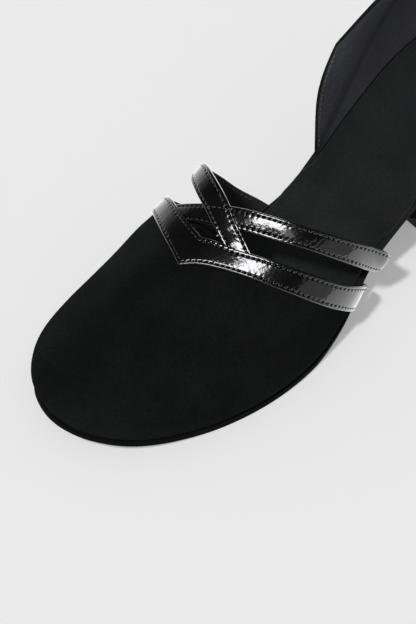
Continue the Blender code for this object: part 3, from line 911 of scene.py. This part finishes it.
def stitches(name, paths, yarn=THREAD):
    """Rows of separate thread stitches, one joined mesh."""
    rings = 7
    sides = 8
    t = np.linspace(0, np.pi, rings)
    a = np.linspace(0, 2 * np.pi, sides, endpoint=False)
    plump = (np.sin(t)**0.6)[:, None]
    shape = np.stack([-np.cos(t)[:, None] + 0 * a, plump * np.cos(a), plump * np.sin(a)], -1)
    body = shape[1:-1].reshape(-1, 3)
    body = np.vstack([body, [(-1, 0, 0)], [(1, 0, 0)]])
    faces = quads(rings - 2, sides, wrap=True)
    count = len(body)
    last = (rings - 3) * sides
    for i in range(sides):
        k = (i + 1) % sides
        faces.append((count - 2, k, i))
        faces.append((count - 1, last + i, last + k))
    points = []
    every = []
    for line, normals in paths:
        length = path_length(line)
        number = stitch_count(length[-1])
        at = (np.arange(number) + 0.5) * length[-1] / number
        centre = along(at, length, line)
        run = unit(along(at + SLOPE_STEP, length, line) - along(at - SLOPE_STEP, length, line))
        side = unit(np.cross(along(at, length, normals), run))
        normal = np.cross(run, side)
        for k in range(number):
            base = len(points) * count
            stitch = centre[k] + body[:, :1] * run[k] * STITCH_PITCH * STITCH_FILL / 2
            stitch = stitch + body[:, 1:2] * side[k] * STITCH_WIDE / 2
            stitch = stitch + body[:, 2:3] * normal[k] * STITCH_HIGH / 2
            points.append(stitch)
            every.extend(tuple(base + v for v in face) for face in faces)
    return add_piece(name, np.vstack(points), every, [yarn])


def band_strap():
    columns = []
    for first, second in ((-BAND_FOOT, 0.0), (0.0, BAND_FOOT)):
        girth = np.linspace(first, second, BAND_SAMPLES)
        front, rear = band_edges(girth - RIDGE_SIDE if second == 0.0 else girth)
        middle = last_point((front + rear) / 2, girth)
        columns.append(even_steps([girth, front, rear], middle))
    girth, front, rear = [np.concatenate([a, b[1:]]) for a, b in zip(*columns)]
    return Strap(girth, front, girth, rear, np.full(len(girth), GAP + BAND_WALL))


def table_strap(table):
    rows = np.array(table, float)
    rows[:, 0] = np.clip(rows[:, 0], -STRAP_FOOT, STRAP_FOOT)
    rows[:, 2] = np.clip(rows[:, 2], -STRAP_FOOT, STRAP_FOOT)
    t = np.arange(len(rows))
    at = np.linspace(0, len(rows) - 1, STRAP_SAMPLES)
    lines = [steady(t, rows[:, k])(at) for k in range(5)]
    front_girth, front_station, rear_girth, rear_station, _ = lines
    middle = last_point((front_station + rear_station) / 2, (front_girth + rear_girth) / 2)
    return Strap(*even_steps(lines, middle))


def slab(name, offset, profile, stations, materials, replaced, shift):
    """Sheet with a shaped edge: rings at true distances inside the moved sole line, filled across."""
    depth = 0.5 - 0.5 * np.cos(np.linspace(0, np.pi, stations))
    reach = DENSE_POINTS[:, 1]
    y = reach.min() + (reach.max() - reach.min()) * depth
    right = edge_parameter(y[1:-1], 1)
    left = edge_parameter(y[1:-1], -1)
    u = np.concatenate([[DENSE[np.argmin(reach)]], right, [DENSE[np.argmax(reach)]], left[::-1]])
    side = np.concatenate([[0], np.ones(len(right)), [0], -np.ones(len(left))])
    foot = outline(u)
    n = outward(u)
    move = offset(foot[:, 1], side)
    rings = []
    for inset, height in profile(foot[:, 1]):
        p = foot + n * (move - inset)[:, None]
        rings.append(np.column_stack([p, bottom(p[:, 1]) + shift + height]))
    count = len(u)
    faces = [face[::-1] for face in quads(len(rings), count, wrap=True)]
    indices = [int(0 < k // count < len(rings) - 2) for k in range(len(faces))]
    last = (len(rings) - 1) * count
    for i in range(stations - 1):
        top = tuple(dict.fromkeys((i, i + 1, (count - i - 1) % count, (count - i) % count)))
        faces += [top, tuple(last + k for k in top[::-1])]
        indices += [0, 2]
    return add_piece(name, np.vstack(rings), faces, materials, replaced, SHARP_ANGLE, indices)


def make_outsole():
    def offset(y, _):
        return sole_margin(y)

    def profile(y):
        thick = sole_thickness(y)
        upper = [(inset, -drop) for inset, drop in OUTSOLE_UPPER_EDGE]
        lower = [(inset, rise - thick) for inset, rise in OUTSOLE_LOWER_EDGE]
        return upper + [(0.0, -thick / 2)] + lower
    materials = [EDGE, EDGE, SUEDE_SOLE]
    return slab("outsole_leather", offset, profile, OUTSOLE_STATIONS, materials, ["outsole"], 0.0)


def make_insole():
    inner = column(INSOLE_INSET, 1, steady)
    outer = column(INSOLE_INSET, 2, steady)

    def offset(y, side):
        return -np.where(side > 0, outer(y), np.where(side < 0, inner(y), INSOLE_ENDS))

    def profile(_):
        return [(inset, INSOLE - drop) for inset, drop in INSOLE_UPPER_EDGE] + INSOLE_LOWER_EDGE
    materials = [BED, BED, BED]
    return slab("insole_bed", offset, profile, INSOLE_STATIONS, materials, ["insole"], GAP)


def counter_surface(t, share):
    """Row of the counter's outer face at share t of its height, at shares of the way round the heel."""
    lean_back = column(COUNTER_LEAN, 1)
    lean_side = column(COUNTER_LEAN, 2)
    height = column(COUNTER_TOP, 1, steady)
    set_back = COUNTER_SET_BACK * t + COUNTER_CORNER * t**6
    first = edge_parameter(COUNTER_OUTER + set_back, 1)
    end = edge_parameter(COUNTER_INNER + set_back, -1)
    u = first + (end - first) * share
    away = np.where(u < U_BACK, (U_BACK - u) / (U_BACK - first), (u - U_BACK) / (end - U_BACK))
    side = away**1.5
    lean = lean_back(t) * (1 - side) + lean_side(t) * side
    foot = outline(u) + outward(u) * lean[:, None]
    z = bottom(outline(u)[:, 1]) + GAP + height(away) * t
    return np.column_stack([foot, z])


def make_counter(cols=150, rows=56):
    share = np.linspace(0, 1, cols)
    points = np.vstack([counter_surface(t, share) for t in np.linspace(0, 1, rows)])
    obj = add_piece("counter_leather", points, quads(rows, cols), [NAP, LINING], ["counter"])
    wall(obj, COUNTER_WALL)
    round_edges(obj, "rolled_edge", COUNTER_ROLL, COUNTER_ROLL_ANGLE)


ROW_INSET = 1.3          # counter's stitch row from its inner front edge
ROW_SPAN = (0.06, 0.94)  # shares of the counter's height between which it runs
ROW_SINK = 0.05          # how deep it lies in the lining
ROW_STEP = 0.004         # step of a numerical slope along the counter


def counter_row():
    """Stitch row on the lining beside the counter's inner front edge."""
    share = 1 - ROW_INSET / COUNTER_LENGTH
    shares = np.array([share - ROW_STEP, share, share + ROW_STEP])
    at = np.array([counter_surface(t, shares) for t in np.linspace(*ROW_SPAN, 90)])
    run = np.gradient(at[:, 1], axis=0)
    inward = unit(np.cross(run, at[:, 2] - at[:, 0]))
    inward = inward * np.sign(-inward[:, :1] * at[:, 1, :1])
    return at[:, 1] + inward * (COUNTER_WALL - ROW_SINK), inward


def heel_rings(table, per_side):
    depth = np.sin(np.linspace(0, np.pi / 2, per_side + 1))
    seat_y = HEEL_FRONT + (HEEL_ROWS[-1][3] - HEEL_FRONT) * depth
    seat = []
    for side in (1, -1):
        u = edge_parameter(seat_y, side)
        seat.append(outline(u)[:, 0] - side * HEEL_INSET)
    seat[0][-1] = 0.0
    seat[1][-1] = 0.0
    seat_z = bottom(seat_y) - sole_thickness(seat_y) - GAP
    low = TIP_HEIGHT + GAP - SOLE_FRONT
    tip = np.sqrt(1 - depth**3)
    rings = []
    for share, half, front, back, form in table:
        y = front + (back - front) * depth
        right = (1 - form) * tip * half + form * seat[0]
        left = -(1 - form) * tip * half + form * seat[1]
        z = low + (seat_z - low) * share
        ring = np.column_stack([right, y, z])
        rings.append(np.vstack([ring, np.column_stack([left, y, z])[-2::-1]]))
    return rings


def closed_rings(name, rings, materials, replaced, bevel):
    n = len(rings[0])
    faces = quads(len(rings), n, wrap=True)
    top = (len(rings) - 1) * n
    for i in range(n // 2):
        low = (i + 1, i, n - 1 - i, n - 2 - i)
        faces.append(tuple(dict.fromkeys(low)))
        faces.append(tuple(dict.fromkeys(top + k for k in low[::-1])))
    obj = add_piece(name, np.vstack(rings), faces, materials, replaced, SHARP_ANGLE)
    round_edges(obj, "edge", bevel, SHARP_ANGLE)
    return obj


def make_heel():
    rows = np.array(HEEL_ROWS)
    shares = np.linspace(0, 1, HEEL_LEVELS)
    table = [[s] + [float(steady(rows[:, 0], rows[:, k])(s)) for k in range(1, 5)] for s in shares]
    rings = heel_rings(table, HEEL_PER_SIDE)
    return closed_rings("heel_block", rings, [HEEL_COAT], ["heel"], HEEL_BEVEL)


def make_top_piece():
    top = heel_rings([HEEL_ROWS[0]], HEEL_PER_SIDE)[0]
    top[:, 2] = TIP_HEIGHT - SOLE_FRONT
    middle = np.array([0.0, top[:, 1].mean(), 0.0])
    foot = middle + (top - middle) * TIP_SPREAD
    foot[:, 2] = -SOLE_FRONT
    return closed_rings("heel_tip", [foot, top], [TIP_RUBBER], ["top_piece"], TIP_BEVEL)


make_outsole()
make_insole()
make_vamp()
band = band_strap()
over = table_strap(OVER_STRAP)
under = table_strap(UNDER_STRAP)
ribbon("throat_band", band, BAND_WALL, ["front_strap"])
ribbon("over_strap", over, STRAP_WALL, [])
ribbon("under_strap", under, STRAP_WALL, ["crossed_straps"])
make_counter()
make_heel()
make_top_piece()

CROSSING = (-0.13, 0.10)     # girth where the lower strap's rear row comes through the upper strap
CROSSING_RISE = 1.32         # its height above the lower strap's face
BACK_ROWS = (-0.95, -0.30)   # girth of the rows on the back of the upper strap
BACK_STAND = 0.02            # how far those stand off the back


def within(values, limits):
    return (values > limits[0]) & (values < limits[1])


stitches("band_stitches", [band.stitch_line(0), band.stitch_line(1)])
through = within(under.rear_girth, CROSSING)
over_top = [part[through] for part in under.stitch_line(1, CROSSING_RISE)]
strap_rows = [strap.stitch_line(edge) for strap in (over, under) for edge in (0, 1)]
stitches("strap_stitches", strap_rows + [over_top])
inner = within(over.rear_girth, BACK_ROWS)
back_rows = [[part[inner] for part in over.stitch_line(edge, -STRAP_WALL - BACK_STAND)] for edge in (0, 1)]
stitches("strap_back_stitches", back_rows, yarn=LINING_THREAD)
stitches("counter_stitches", [counter_row()], yarn=LINING_THREAD)


# floor, light and camera


FLOOR_HALF = 3.0
FLOOR_DARK = (0.795, 0.795, 0.795)
FLOOR_LIGHT = (0.805, 0.805, 0.805)
FLOOR_SELF_LIGHT = 0.298
FILL = 0.22              # even white light from all round
BACKDROP = 1.2           # backdrop as glossy surfaces see it
BACKDROP_INWARD = 0.8    # direction in which it stands, behind the inner side
BACKDROP_REARWARD = 0.6
BACKDROP_EDGE = (0.35, 0.8)      # lean of a ray that way: start, full
BACKDROP_HEIGHT = (-0.1, 0.54)   # rise of a ray: full, none
BACKDROP_FLOOR = 0.03            # least that is left of it elsewhere
LIGHT_TINT = (0.97, 0.975, 1.0)
KEY_DIRECTION = (0.121, -0.485, 0.866)
KEY_STRENGTH = 1.60
KEY_ANGLE = 5.5          # degrees
# lights that only reflections show: name, direction, distance, size, radiance
MIRRORED = [
    ("softbox", (0.19, -0.42, 0.887), 1.2, (0.52, 0.50), 16.0),
    ("softbox_spill", (0.5, -0.46, 0.73), 1.2, (0.25, 0.25), 1.3),
    ("grey_wall", (0.98, 0.15, 0.28), 1.5, (2.2, 0.9), 0.42),
]
# floor beside the shoe as the straps mirror it: near x, far x, radiance
FLOOR_GLOW = [
    (0.035, 0.060, 1.0),
    (0.060, 0.090, 0.95),
    (0.090, 0.140, 0.85),
    (0.140, 0.250, 0.72),
    (0.250, 1.200, 0.6),
    (-0.045, -0.250, 0.6),
    (-0.250, -1.200, 0.5),
]
GLOW_MIDDLE = 0.05       # y of its middle, length and height over the floor
GLOW_LENGTH = 1.2
GLOW_HEIGHT = 0.002
SHOE_MIDDLE = Vector((0.0, -0.02, 0.02))


def make_floor():
    mesh = bpy.data.meshes.new("floor")
    turns = ((-1, -1), (1, -1), (1, 1), (-1, 1))
    mesh.from_pydata([(x * FLOOR_HALF, y * FLOOR_HALF, 0) for x, y in turns], [], [(0, 1, 2, 3)])
    obj = new_object("floor", mesh)
    m = material("floor_paper")
    m.set(Base_Color=m.blend(m.noise(3.0, 2.0, 0.5), FLOOR_DARK, FLOOR_LIGHT))
    m.set(Roughness=0.95, Specular_IOR_Level=0.0)
    m.set(Emission_Color=(1.0, 1.0, 1.0), Emission_Strength=FLOOR_SELF_LIGHT)
    mesh.materials.append(m.owner)


def add_light(name, kind, direction, distance, target=SHOE_MIDDLE, up=False):
    """Light in a direction from the target that faces it, or away from it."""
    obj = new_object(name, bpy.data.lights.new(name, kind))
    away = Vector(direction).normalized()
    obj.location = target + away * distance
    facing = away if up else -away
    obj.rotation_euler = facing.to_track_quat("-Z", "Y").to_euler()
    return obj


def area_light(name, direction, distance, size, radiance, **way):
    """Light of a given radiance that only reflections show."""
    obj = add_light(name, "AREA", direction, distance, **way)
    obj.data.shape = "RECTANGLE"
    obj.data.size = size[0]
    obj.data.size_y = size[1]
    obj.data.energy = radiance * math.pi * size[0] * size[1]
    obj.data.color = LIGHT_TINT
    obj.visible_camera = False
    obj.visible_diffuse = False


def key_light():
    """Distant light that casts the shadow on the floor; the glossy straps do not mirror it."""
    obj = add_light("key", "SUN", KEY_DIRECTION, 1.0)
    obj.data.energy = KEY_STRENGTH
    obj.data.angle = math.radians(KEY_ANGLE)
    obj.visible_glossy = False


def make_sky():
    """Even white fill; glossy surfaces see a backdrop that is bright low down behind the inner side."""
    m = Nodes(bpy.data.worlds.new("studio"), "Background")
    bpy.context.scene.world = m.owner
    x, y, z = m.axes(m.add("ShaderNodeTexCoord").outputs["Generated"])
    rearward = m.math("MULTIPLY", y, BACKDROP_REARWARD)
    behind = m.math("SUBTRACT", rearward, m.math("MULTIPLY", x, BACKDROP_INWARD))
    low = m.math("SUBTRACT", 1.0, m.ramp(z, *BACKDROP_HEIGHT))
    glow = m.math("MULTIPLY", m.math("MULTIPLY", m.ramp(behind, *BACKDROP_EDGE), low), BACKDROP)
    glow = m.math("ADD", glow, BACKDROP_FLOOR)
    glossy = m.add("ShaderNodeLightPath").outputs["Is Glossy Ray"]
    shown = m.math("MULTIPLY", m.math("SUBTRACT", glow, FILL), glossy)
    m.set(Color=(1.0, 1.0, 1.0), Strength=m.math("ADD", shown, FILL))


def make_light():
    make_sky()
    key_light()
    for row in MIRRORED:
        area_light(*row)
    for k, (near, far, radiance) in enumerate(FLOOR_GLOW):
        middle = Vector(((near + far) / 2, GLOW_MIDDLE, 0.0))
        size = (abs(far - near), GLOW_LENGTH)
        area_light("floor_glow_%d" % k, (0, 0, 1), GLOW_HEIGHT, size, radiance, target=middle, up=True)


def make_camera():
    """Camera of the photo: placed in last coordinates, image 416 by 624, no shift."""
    azimuth = math.radians(47.658)
    elevation = math.radians(52.882)
    distance = 1300.0
    pan = 0.01564
    tilt = -0.00881
    focal = 3311.42
    sensor = 36.0
    image_height = 624.0
    target = Vector((0.0, 90.0, 15.0))
    level = math.cos(elevation)
    back = Vector((math.sin(azimuth) * level, -math.cos(azimuth) * level, math.sin(elevation)))
    place = target + back * distance
    ahead = -back
    turn = math.atan2(ahead.y, ahead.x) + pan
    rise = math.asin(ahead.z) + tilt
    ahead = Vector((math.cos(rise) * math.cos(turn), math.cos(rise) * math.sin(turn), math.sin(rise)))
    right = ahead.cross(Vector((0, 0, 1))).normalized()
    up = right.cross(ahead)
    data = bpy.data.cameras.new("camera")
    data.sensor_width = sensor
    data.sensor_fit = "AUTO"
    data.lens = focal * sensor / image_height
    data.clip_start = 0.01
    data.clip_end = 20.0
    obj = new_object("camera", data)
    spot = Vector(world([place])[0])
    obj.matrix_world = Matrix.Translation(spot) @ Matrix((right, up, -ahead)).transposed().to_4x4()
    bpy.context.scene.camera = obj


make_floor()
make_light()
make_camera()
bpy.context.scene.view_settings.view_transform = "Standard"
